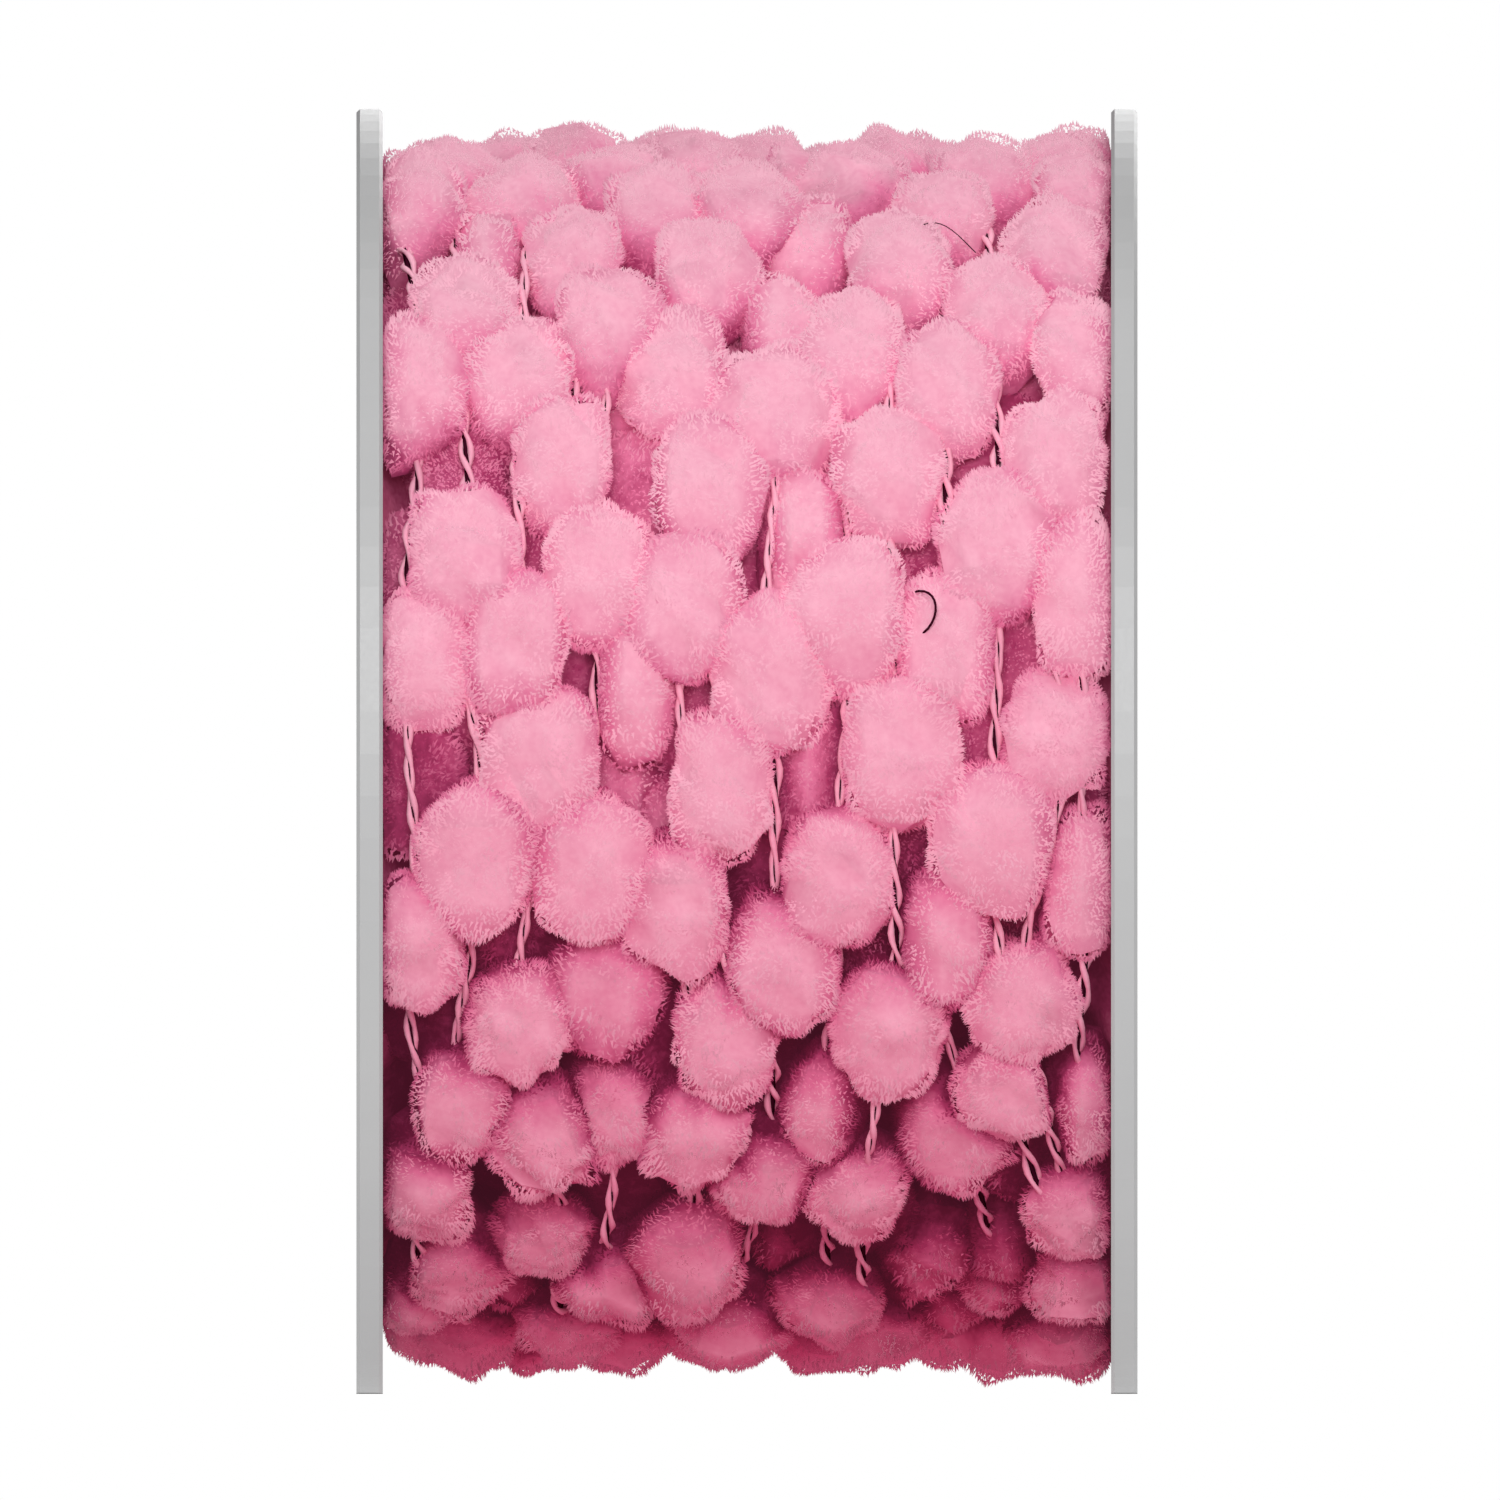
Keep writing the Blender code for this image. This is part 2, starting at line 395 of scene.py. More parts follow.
# %% Let the pompoms settle
SETTLE_STEPS = 60
POMPOM_ROOM = 9.0 * MM
LOOSE_CLOSER = 0.22
ROOM_ALONG = 1.22
THREAD_ROOM = 3.2 * MM
PAIR_SHARE = 0.45
THREAD_SHARE = 0.3
OUTER_EAGERNESS = 0.45
PULL_BACK = 0.10
OUTER_RADII = (44.0 * MM, 47.8 * MM)
LOWER_RADII = (40.0 * MM, 46.0 * MM)
EDGE_ROOM = 2.5 * MM


def unit(vectors):
    """The same directions with length one."""
    return vectors / np.maximum(np.linalg.norm(vectors, axis=-1, keepdims=True), 1e-12)


def away_from_axis(points):
    """The part of each point's place that leads straight away from the reel's axis."""
    return points * [0, 1, 1] - [0, 0, AXIS_HEIGHT]


def to_threads(points, run):
    """From each point to the nearest place on each straight link of a run: the vectors, point by link."""
    start, along = run[:-1], np.diff(run, axis=0)
    away = points[:, None] - start
    share = np.clip((away * along).sum(-1) / (along * along).sum(-1), 0, 1)
    return start + share[..., None] * along - points[:, None]


def held_in(points, limits):
    """Keeps points between two distances from the axis and clear of the flanges."""
    radial = away_from_axis(points)
    distance = np.linalg.norm(radial, axis=-1, keepdims=True)
    radial = radial * np.clip(distance, *limits) / distance
    across = np.clip(points[:, :1], EDGE_ROOM - INSIDE_HALF, INSIDE_HALF - EDGE_ROOM)
    return radial + [0, 0, AXIS_HEIGHT] + across * [1, 0, 0]


def own_links(count):
    """True where a pompom is an end of a link of its own run."""
    pompom, link = np.arange(count)[:, None], np.arange(count - 1)
    return (link == pompom) | (link == pompom - 1)


def settle(outer, lower):
    """Repeated small moves: each pair apart by a share of its overlap, aside from threads, and back home.

    Distances along the thread count for less, because a pompom is longer that way. The outer pompoms give
    way less than the ones below, so that they stay near the table's places.
    """
    home = np.concatenate([outer, lower])
    slack = np.concatenate([outer_loose, looseness(lower_angles)])
    room = POMPOM_ROOM * (1 - LOOSE_CLOSER * (slack[:, None] + slack) / 2)
    points = home.copy()
    many = len(outer)
    eagerness = np.where(np.arange(len(home)) < many, OUTER_EAGERNESS, 1.0)[:, None]
    for _ in range(SETTLE_STEPS):
        apart = points[:, None] - points
        around = np.cross([1.0, 0, 0], unit(away_from_axis(points)))
        lengthwise = (apart * around[:, None]).sum(-1, keepdims=True)
        squeezed = apart - (1 - 1 / ROOM_ALONG) * lengthwise * around[:, None]
        distance = np.linalg.norm(squeezed, axis=-1) + np.eye(len(points))
        overlap = np.clip(room - distance, 0, None) * (1 - np.eye(len(points)))
        move = PAIR_SHARE * (apart / distance[..., None] * overlap[..., None]).sum(1)
        aside = to_threads(points[:many], points[:many])
        gap = np.linalg.norm(aside, axis=-1)
        crowd = np.where(own_links(many), 0, np.clip(THREAD_ROOM - gap, 0, None))
        move[:many] -= THREAD_SHARE * (unit(aside) * crowd[..., None]).sum(1)
        points = points + eagerness * move + PULL_BACK * (home - points)
        points[:many] = held_in(points[:many], OUTER_RADII)
        points[many:] = held_in(points[many:], LOWER_RADII)
    return points[:many], points[many:]


outer_centres, lower_centres = settle(outer_start, lower_start)
moved = np.linalg.norm(outer_centres - outer_start, axis=1) / MM
print("outer pompoms moved, mean and most in mm:", round(moved.mean(), 2), round(moved.max(), 2))

# %% [markdown]
# ## The form of one pompom
#
# A pompom is a ball of cut yarn, and a soft one: where it meets a neighbour, a thread or a flange it goes
# flat. Cutting balls with planes would leave hard rims. Here each direction from the centre gets a reach,
# which is the smooth least of the ball's own radius and the distance to every wall, so the flats blend
# into the ball.

# %% Walls round each pompom
POMPOM_RADIUS = 5.45 * MM
LOWER_POMPOM_RADIUS = 5.5 * MM
SIZE_SPREAD = 0.06
SIZE_LIMITS = (0.87, 1.11)
LOOSE_SPREAD = (0.2, 1.8)
WALL_OVERLAPS = (1.28, 1.16)
NEIGHBOUR_REACH = 12.5 * MM
NEIGHBOURS = 12
THREADS_NEAR = 4
THREAD_REACH = 6 * MM
THREAD_CLEAR = 0.45 * MM
LEAST_WALL = 2.4 * MM
FAR_WALL = 1.0
MERGE = 0.5
MERGE_FROM = 11.8 * MM
MERGE_EASE = 2.4 * MM

centres = np.concatenate([outer_centres, lower_centres])
count_outer = len(outer_centres)
radii = np.where(np.arange(len(centres)) < count_outer, POMPOM_RADIUS, LOWER_POMPOM_RADIUS)
radii = radii * size_rng.normal(1, SIZE_SPREAD, len(centres)).clip(*SIZE_LIMITS)
loose = np.concatenate([outer_loose, looseness(lower_angles)])
radii = radii * (1 - LOOSE_SMALLER * loose * size_rng.uniform(*LOOSE_SPREAD, len(centres)))
shady = shadiness(np.concatenate([outer_angles, lower_angles]))


def nearest(vectors, distances, reach, keep):
    """The directions and distances of the few nearest walls; walls out of reach are put far away."""
    order = np.argsort(distances, axis=1)[:, :keep]
    near = np.take_along_axis(distances, order, 1)
    toward = unit(np.take_along_axis(vectors, order[..., None], 1))
    return toward, np.where(near < reach, near, FAR_WALL)


def walls():
    """Each pompom's walls as unit directions and distances: halfway to neighbours, near threads, at flanges.

    The third array tells how far it grows into each near neighbour of its own layer.
    """
    between = centres - centres[:, None]
    distance = np.linalg.norm(between, axis=-1) + FAR_WALL * np.eye(len(centres))
    toward, near = nearest(between, distance, NEIGHBOUR_REACH, NEIGHBOURS)
    aside = to_threads(centres, outer_centres)
    own = np.zeros(aside.shape[:2], bool)
    own[:count_outer] = own_links(count_outer)
    gap = np.where(own, FAR_WALL, np.linalg.norm(aside, axis=-1))
    thread_toward, thread_near = nearest(aside, gap, THREAD_REACH, THREADS_NEAR)
    flange_toward = np.broadcast_to([[-1.0, 0, 0], [1.0, 0, 0]], (len(centres), 2, 3))
    flange_near = np.stack([INSIDE_HALF + centres[:, 0], INSIDE_HALF - centres[:, 0]], 1)
    thread_wall = np.where(thread_near < FAR_WALL, thread_near - THREAD_CLEAR, FAR_WALL)
    overlap = np.interp(shady, (0, 1), WALL_OVERLAPS)[:, None]
    halfway = np.maximum(overlap * near / 2, LEAST_WALL)
    beside = 1 - (toward * outward[:, None]).sum(-1) ** 2
    merging = MERGE * beside * ((MERGE_FROM - near) / MERGE_EASE).clip(0, 1)
    return (
        np.concatenate([toward, thread_toward, flange_toward], 1),
        np.concatenate([halfway, np.maximum(thread_wall, LEAST_WALL), flange_near], 1),
        merging,
    )


outward = unit(away_from_axis(centres))
wall_toward, wall_near, wall_merging = walls()
print("walls for each pompom:", wall_near.shape[1])

# %% Reach of the body
SHARPNESS = 7
MERGE_POWER = 5
MERGE_MOST = 0.45
LOBES = 8
LOBE_HEIGHT = 0.044
LOBE_WAVES = (3.0, 12.0)
LONGER = (0.08, 0.38)

run_along = np.concatenate([np.gradient(outer_centres, axis=0), np.gradient(lower_centres, axis=0)])
along = unit(run_along - (run_along * outward).sum(1, keepdims=True) * outward)
across = np.cross(along, outward)
form_rng = np.random.default_rng(23)
lobe_toward = unit(form_rng.normal(size=(len(centres), LOBES, 3)))
lobe_waves = form_rng.uniform(*LOBE_WAVES, (len(centres), LOBES))
lobe_phase = form_rng.uniform(0, 2 * np.pi, (len(centres), LOBES))
longer = form_rng.uniform(*LONGER, len(centres))


def body_reach(which, toward):
    """Distance from a centre to the pressed body, and how hard it is pressed there, from 0 to 1.

    Free, it is the radius, longer along the thread, times one plus a few slow waves. It grows towards near
    neighbours, by the fifth power of the cosine. Pressed, it is
    (that^-p + sum of (cosine to a wall / distance of the wall)^p)^(-1/p), and how hard is the walls' share
    of that sum.
    """
    lobes = lobe_waves[which][:, None] * (toward @ lobe_toward[which].swapaxes(1, 2))
    waves = np.sin(lobes + lobe_phase[which][:, None])
    lengthwise = (toward @ along[which][..., None])[..., 0] ** 2
    drawn_out = radii[which][:, None] * (1 + longer[which][:, None] * lengthwise)
    free = drawn_out * (1 + LOBE_HEIGHT * waves.sum(-1))
    facing = np.clip(toward @ wall_toward[which].swapaxes(1, 2), 0, None)
    merging = (wall_merging[which][:, None] * facing[..., :NEIGHBOURS] ** MERGE_POWER).sum(-1)
    grown = free * (1 + merging.clip(0, MERGE_MOST))
    pressed = ((facing / wall_near[which][:, None]) ** SHARPNESS).sum(-1)
    reach = (grown**-SHARPNESS + pressed) ** (-1 / SHARPNESS)
    return reach, pressed * reach**SHARPNESS


print("waves on each pompom:", LOBES)

# %% [markdown]
# ## Tufts
#
# Brushed yarn isn't a smooth ball. Its fibres cling together in tufts a little over 2 mm across, and
# under the reel, where little presses on them, the tufts stand up more. A tuft is a low rounded hill on
# the body, in a random but even spread.

# %% Tufts
TUFTS = 110
TUFT_HALF_ANGLE = 0.24
TUFT_HEIGHTS = (0.22 * MM, 0.3 * MM)
TUFT_UNEVEN = 0.012
HILL_LIMITS = (-1, 1.3)
SHAKEN = 0.9
NORMAL_STEP = 0.02
NEAR_X = 0.8


def even_directions(count):
    """Directions spread evenly over a ball: equal steps in height, and a golden-angle turn for each."""
    step = np.arange(count) + 0.5
    height = 1 - 2 * step / count
    turn = step * np.pi * (3 - 5**0.5)
    flat = np.sqrt(1 - height**2)
    return np.stack([flat * np.cos(turn), flat * np.sin(turn), height], -1)


def scattered(rng_here, many, count):
    """Evenly spread directions for each pompom, each set turned its own way and shaken a little."""
    turn = np.linalg.qr(rng_here.normal(size=(many, 3, 3)))[0]
    shaken = even_directions(count) + rng_here.normal(0, SHAKEN / np.sqrt(count), (many, count, 3))
    return unit(shaken @ turn)


tuft_toward = scattered(form_rng, len(centres), TUFTS)
tuft_lift = form_rng.normal(0, TUFT_UNEVEN, (len(centres), 1, TUFTS))
tuft_height = np.interp(shady, (0, 1), TUFT_HEIGHTS)[:, None]


def tufted_reach(which, toward):
    """The body's reach plus its tufts; then the body's reach, the tuft here, its hill and the pressing.

    A hill is one minus the squared angle from its middle over a squared half angle, and the highest hill at
    a place counts.
    """
    body, pressed = body_reach(which, toward)
    hills = toward @ tuft_toward[which].swapaxes(1, 2) + tuft_lift[which]
    tuft = np.argmax(hills, axis=2)
    hill = 1 - 2 * (1 - np.take_along_axis(hills, tuft[..., None], 2)[..., 0]) / TUFT_HALF_ANGLE**2
    return body + tuft_height[which] * np.clip(hill, *HILL_LIMITS), body, tuft, hill, pressed


def surface(which, toward, reach_of):
    """Points on the pompoms by a reach function, normals from two small steps, and what else it tells."""
    helper = np.where(np.abs(toward[..., :1]) < NEAR_X, [1.0, 0, 0], [0, 1.0, 0])
    first = unit(np.cross(toward, helper))
    second = np.cross(toward, first)
    reach, *more = reach_of(which, toward)
    point = reach[..., None] * toward
    steps = []
    for side in (first, second):
        turned = unit(toward + NORMAL_STEP * side)
        steps.append(reach_of(which, turned)[0][..., None] * turned - point)
    return centres[which][:, None] + point, unit(np.cross(*steps)), *more


print("tufts on each pompom:", TUFTS)

# %% [markdown]
# ## From arrays to pieces
#
# Nearly a million triangles are too many to build one by one. Blender takes a whole mesh as long rows of
# numbers instead, and one function does that for every piece. It also says what the piece belongs to: it
# rides on the reel, it stands for the plain winding, and its material is the yarn.

# %% Mesh helper
def add_piece(name, points, faces, material, normals=None, tone=None):
    """A smooth mesh at the origin from arrays, riding on the reel and standing for the plain winding.

    Normals go in twice: custom_normal shades the mesh, and soft_normal is the copy that a material can read.
    """
    mesh = bpy.data.meshes.new(name)
    mesh.vertices.add(len(points))
    mesh.vertices.foreach_set("co", points.astype(np.float32).ravel())
    mesh.loops.add(faces.size)
    mesh.loops.foreach_set("vertex_index", faces.astype(np.int32).ravel())
    mesh.polygons.add(len(faces))
    mesh.polygons.foreach_set("loop_start", np.arange(0, faces.size, faces.shape[1], dtype=np.int32))
    mesh.update(calc_edges=True)
    mesh.shade_smooth()
    mesh.materials.append(material)
    if normals is not None:
        for attribute in ("custom_normal", "soft_normal"):
            free = mesh.attributes.new(attribute, "FLOAT_VECTOR", "POINT")
            free.data.foreach_set("vector", normals.astype(np.float32).ravel())
    if tone is not None:
        shade = mesh.attributes.new("tone", "FLOAT", "POINT")
        shade.data.foreach_set("value", tone.astype(np.float32).ravel())
    piece = bpy.data.objects.new(name, mesh)
    bpy.context.collection.objects.link(piece)
    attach(piece, "root")
    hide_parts("winding")
    triangles = len(faces) * (faces.shape[1] - 2)
    print(name, triangles, "triangles")
    return triangles


# %% [markdown]
# ## The yarn
#
# The pompoms are cut acrylic yarn, brushed until its fibres stand apart. Loose fibres scatter light
# between them, so the yarn has almost no shine, glows softly where it is lit, and turns a deep rose where
# light has bounced many times. A tone on each point, from 0 deep inside to 1 outermost, picks its colour
# from a ramp whose darker end is painted shade, and a faint painted glow stands for the light that seeps
# through. A fibre is a flat card, and the light on it must not depend on which side of the card is seen.
# So a card that turns its back lets through the light that falls on its front.

# %% Brushed acrylic
TUFT_PER_METRE = 1 / (2.2 * MM)
WISP_PER_METRE = 1 / (0.55 * MM)
UNEVEN = 0.22
# The ramp runs from painted shade, deep in the pile, to the lit tips.
PILE_PAINTED_SHADE_COLOURS = [(0.0, "#5A1230"), (0.25, "#A03A64"), (0.55, "#D6779B"), (1.0, "#EEB3C5")]
CORE_COLOURS = [(0.0, "#24060F"), (1.0, "#46122A")]
# A faint rose glow is painted on the yarn and stands for light that seeps through it.
PAINTED_GLOW_COLOUR = "#9A3A5A"
PAINTED_GLOW_STRENGTH = 0.12


def brushed_acrylic(name, colours, own_normal=False, painted_glow=PAINTED_GLOW_STRENGTH):
    """Brushed yarn: colour by tone, from deep in the pile to its tips, mottled by tufts and by finer wisps.
    The tone carries painted shade, and the emission is a painted glow.

    With own_normal the shader takes the soft normal that each fibre carries, and its back is translucent
    with that normal turned round.
    """
    made, tree = new_material(name)
    tone = add_node(tree, "ShaderNodeAttribute", attribute_name="tone").outputs["Fac"]
    place = add_node(tree, "ShaderNodeTexCoord").outputs["Object"]
    tufts = add_node(tree, "ShaderNodeTexNoise", {"Vector": place, "Scale": TUFT_PER_METRE, "Detail": 1.0})
    wisps = add_node(tree, "ShaderNodeTexNoise", {"Vector": place, "Scale": WISP_PER_METRE, "Detail": 1.0})
    both = add_node(tree, "ShaderNodeMath", {0: tufts.outputs[0], 1: wisps.outputs[0]}, operation="ADD")
    uneven = add_node(
        tree,
        "ShaderNodeMapRange",
        {"Value": both.outputs[0], "From Max": 2.0, "To Min": -UNEVEN, "To Max": UNEVEN},
    )
    mottled = add_node(
        tree, "ShaderNodeMath", {0: tone, 1: uneven.outputs[0]}, operation="ADD", use_clamp=True
    )
    ramp = add_node(tree, "ShaderNodeValToRGB", {"Fac": mottled.outputs[0]})
    stops = ramp.color_ramp.elements
    while len(stops) < len(colours):
        stops.new(0.5)
    for stop, (place_on_ramp, colour) in zip(stops, colours):
        stop.position = place_on_ramp
        stop.color = linear(colour)
    fibre = add_node(
        tree,
        "ShaderNodeBsdfPrincipled",
        {
            "Base Color": ramp.outputs["Color"],
            "Roughness": 0.6,
            "IOR": 1.45,
            "Specular IOR Level": 0.0,
            "Emission Color": linear(PAINTED_GLOW_COLOUR),
            "Emission Strength": painted_glow,
        },
    )
    shader = fibre
    if own_normal:
        made.cycles.use_bump_map_correction = False
        soft = add_node(tree, "ShaderNodeAttribute", attribute_name="soft_normal").outputs["Vector"]
        tree.links.new(soft, fibre.inputs["Normal"])
        turned = add_node(tree, "ShaderNodeVectorMath", {0: soft, 1: (-1, -1, -1)}, operation="MULTIPLY")
        through = add_node(
            tree, "ShaderNodeBsdfTranslucent", {"Color": ramp.outputs["Color"], "Normal": turned.outputs[0]}
        )
        glow = add_node(tree, "ShaderNodeEmission", {"Color": linear(PAINTED_GLOW_COLOUR), "Strength": painted_glow})
        back = add_node(tree, "ShaderNodeAddShader", {0: through.outputs[0], 1: glow.outputs[0]})
        behind = add_node(tree, "ShaderNodeNewGeometry").outputs["Backfacing"]
        shader = add_node(tree, "ShaderNodeMixShader", {0: behind, 1: fibre.outputs[0], 2: back.outputs[0]})
    show(tree, shader.outputs[0])
    return made


pile_yarn = brushed_acrylic("brushed_acrylic_pile", PILE_PAINTED_SHADE_COLOURS, own_normal=True)
heart_yarn = brushed_acrylic("brushed_acrylic_heart", PILE_PAINTED_SHADE_COLOURS)
print("yarn materials:", pile_yarn.name, "and", heart_yarn.name)

# %% [markdown]
# ## Shade in the colour
#
# Light that has passed between coloured fibres many times comes out deeper in colour. A surface shader
# can't know how deep in the winding a point lies, so shade is painted into the tone: less towards the
# axis, less at a pompom's sides, less in the creases where two are pressed together and in the layer
# below, and all of it more so in the shade under the reel.

# %% Painted shade: lighter outwards, darker inwards
# Each of these tones is shade painted into the yarn's colour.
LIGHT_FROM_AXIS = (40 * MM, 51 * MM)
DEPTH_PAINTED_SHADE = (0.5, 0.95)
DEPTH_POWER = 1.3
EDGE_FROM, EDGE_TO = -0.2, 0.95
EDGE_PAINTED_SHADE = (0.12, 0.55)
CREASE_PAINTED_SHADE = (0.5, 1.1)
LOWER_LAYER_PAINTED_SHADE = (0.0, 0.22)


def painted_shade_by_depth(points):
    """Painted shade in the tone: 1 outermost, less a power of the share of the way in, more in the shade."""
    inner, outer = LIGHT_FROM_AXIS
    radial = away_from_axis(points)
    share = ((np.linalg.norm(radial, axis=-1) - inner) / (outer - inner)).clip(0, 1)
    down = np.degrees(np.arctan2(-radial[..., 1], radial[..., 2]))
    return 1 - np.interp(shadiness(down), (0, 1), DEPTH_PAINTED_SHADE) * (1 - share) ** DEPTH_POWER


def painted_shade_on_pompoms(which, points, toward, pressed):
    """Tone by depth, less near a pompom's sides, less where it is pressed, and less in the layer below.

    Each of these is painted shade. Near the sides it falls in a smooth step of the cosine to the way out
    from the axis. Each of the three takes off more in the shade.
    """
    facing = (toward * outward[which][:, None]).sum(-1)
    rise = ((facing - EDGE_FROM) / (EDGE_TO - EDGE_FROM)).clip(0, 1)
    side = 1 - rise * rise * (3 - 2 * rise)
    # Painted shade at the sides, in the creases and on the layer below, each deeper in the shade.
    edge_shade, crease_shade, lower_shade = [
        np.interp(shady[which], (0, 1), pair)[:, None] for pair in (EDGE_PAINTED_SHADE, CREASE_PAINTED_SHADE, LOWER_LAYER_PAINTED_SHADE)
    ]
    below = (which >= count_outer)[:, None] * lower_shade
    return painted_shade_by_depth(points) - edge_shade * side - crease_shade * pressed - below


top_tone, lower_top_tone = painted_shade_by_depth(on_reel(0, 0, np.array(LIGHT_FROM_AXIS[::-1])))
print("tone on top of the reel, 51 and 40 mm from the axis:", round(top_tone, 2), round(lower_top_tone, 2))

# %% [markdown]
# ## Hearts of the pompoms
#
# Under its pile each pompom has a dense heart that light doesn't pass. It shows between the fibres and
# never at the outline, so a coarse ball of 12 by 6 facets, shaded smooth, is enough. Its poles lie on the
# thread, as they do on a ball tied round its middle.

# %% Hearts
HEART_COLUMNS = 12
HEART_ROWS = 6
HEART_PAINTED_SHADE = 0.08
SOFTENED = 1.0


def ball_grid(columns, rows):
    """Directions over a ball by turn and by height, with one point at each pole, and its triangles."""
    turn = np.arange(columns) / columns * 2 * np.pi
    height = np.arange(1, rows)[:, None] / rows * np.pi
    wide = np.sin(height)
    ring = np.stack([np.cos(turn) * wide, np.sin(turn) * wide, np.cos(height) + 0 * turn], -1)
    toward = np.concatenate([[[0, 0, 1.0]], ring.reshape(-1, 3), [[0, 0, -1.0]]])
    here, after = np.arange(columns), np.roll(np.arange(columns), -1)
    level = 1 + columns * np.arange(rows - 2)[:, None]
    a, b = (level + here).ravel(), (level + after).ravel()
    c, d = a + columns, b + columns
    last = len(toward) - 1
    low = last - columns
    top = np.stack([np.zeros(columns, int), 1 + here, 1 + after], 1)
    bottom = np.stack([np.full(columns, last), low + after, low + here], 1)
    return toward, np.concatenate([top, np.stack([a, c, b], 1), np.stack([b, c, d], 1), bottom])


def hearts(name, which):
    """The dense balls inside a set of pompoms, as one mesh: each grid direction times the body's reach."""
    grid, faces = ball_grid(HEART_COLUMNS, HEART_ROWS)
    axes = np.stack([across[which], outward[which], along[which]], 1)
    toward = unit(grid @ axes)
    points, normal, pressed = surface(which, toward, body_reach)
    normal = unit(normal + SOFTENED * outward[which][:, None]).reshape(-1, 3)
    every = faces + len(grid) * np.arange(len(which))[:, None, None]
    if np.linalg.det(axes[0]) < 0:
        every = every[..., ::-1]
    # The heart is painted a little darker than the pile over it, as shade under the pile.
    tone = (painted_shade_on_pompoms(which, points, toward, pressed) - HEART_PAINTED_SHADE).clip(0, 1).ravel()
    return add_piece(name, points.reshape(-1, 3), every.reshape(-1, 3), heart_yarn, normal, tone)


total = hearts("outer_hearts", np.arange(count_outer))
total += hearts("lower_hearts", np.arange(count_outer, len(centres)))

# %% [markdown]
# ## Pile
#
# What the eye reads as soft is the outline: fibres that lean every way and gather in tufts. A real pompom
# has many thousands, far too fine to see one by one. Each one here is a short broad triangle that stands
# for a wisp of them. Its normal is not its own: it is the ball's, turned towards the way out from the
# reel, so the pile shades as one soft surface and only its outline is ragged. The pile casts no shadow,
# because the hearts already cast theirs.

# %% Pile fibres
FIBRES_OUTER = 4400
FIBRES_LOWER = 2300
FACING_OUTER = -0.2
FACING_LOWER = -0.05
FIBRE_LENGTH = 0.24 * MM
FIBRE_HALF_WIDTH = 0.12 * MM
LOWER_HALF_WIDTH = 1.2 * FIBRE_HALF_WIDTH
FIBRE_ROOT = 0.965
LENGTHS = (0.5, 1.4)
LEANS = (0.3, 1)
TUFT_PULL = 0.2
UPRIGHT_MIDDLE = 0.2
UPRIGHT_EDGE = 0.3
SLANT = 0.12 * MM
BALL_SHARE = 0.5
HILL_PAINTED_SHADE = (0.05, 0.1)
TONE_BY_BALL = 0.05
TONE_BY_FIBRE = 0.04
ROOT_TO_TIP_PAINTED_SHADE = 0.02


def pile(name, which, count, facing, width, seed):
    """Fibres over the outward side of a set of pompoms.

    A fibre runs from just under the body's surface to a tip past its tufts. The tip stands up a little,
    leans a random way aside, and is drawn part of the way to the tip of its tuft.
    """
    rng_here = np.random.default_rng(seed)
    toward = scattered(rng_here, len(which), count)
    root, normal, body, tuft, hill, pressed = surface(which, toward, tufted_reach)
    # Painted shade: tuft tops lighter and the hollows between tufts darker, more so in the shade.
    hill_shade = np.interp(shady[which], (0, 1), HILL_PAINTED_SHADE)[:, None]
    own = painted_shade_on_pompoms(which, root, toward, pressed) + hill_shade * hill
    own = own + rng_here.normal(0, TONE_BY_BALL, (len(which), 1))
    base = centres[which][:, None] + FIBRE_ROOT * body[..., None] * toward
    tuft_reach = body_reach(which, tuft_toward[which])[0] + tuft_height[which] + FIBRE_LENGTH
    tuft_tip = centres[which][:, None] + tuft_reach[..., None] * tuft_toward[which]
    goal = np.take_along_axis(tuft_tip, tuft[..., None], 1)
    shown = np.nonzero((toward * outward[which][:, None]).sum(-1) > facing)
    base, root, normal, goal = base[shown], root[shown], normal[shown], goal[shown]
    many = len(root)
    out = outward[which][shown[0]]
    middle = (normal * out).sum(1, keepdims=True).clip(0, 1)
    upright = UPRIGHT_EDGE - (UPRIGHT_EDGE - UPRIGHT_MIDDLE) * middle
    aside = unit(np.cross(normal, rng_here.normal(size=(many, 3))))
    base = base - SLANT * aside
    length = FIBRE_LENGTH * rng_here.uniform(*LENGTHS, (many, 1))
    tip = root + length * unit(upright * normal + rng_here.uniform(*LEANS, (many, 1)) * aside)
    tip = tip + TUFT_PULL * rng_here.uniform(*LEANS, (many, 1)) * (goal - tip)
    soft = unit(BALL_SHARE * normal + SOFTENED * out)
    flat = unit(np.cross(tip - base, soft)) * width
    points = np.stack([base - flat, base + flat, tip], 1).reshape(-1, 3)
    shading = np.repeat(soft, 3, axis=0)
    own = own[shown] + rng_here.normal(0, TONE_BY_FIBRE, many)
    # Painted shade along each fibre: darker at its root, lighter at its tip.
    tone = np.stack([own - ROOT_TO_TIP_PAINTED_SHADE, own - ROOT_TO_TIP_PAINTED_SHADE, own + ROOT_TO_TIP_PAINTED_SHADE], 1).clip(0, 1)
    triangles = add_piece(name, points, np.arange(3 * many).reshape(-1, 3), pile_yarn, shading, tone)
    piece = bpy.data.objects[name]
    piece.visible_shadow = False
    piece.visible_diffuse = False
    piece.visible_transmission = False
    piece.shadow_terminator_geometry_offset = 0
    return triangles


# %% Pile on both layers
OUTER_GROUPS = 5
LOWER_GROUPS = 2
OUTER_SEED = 100
LOWER_SEED = 200

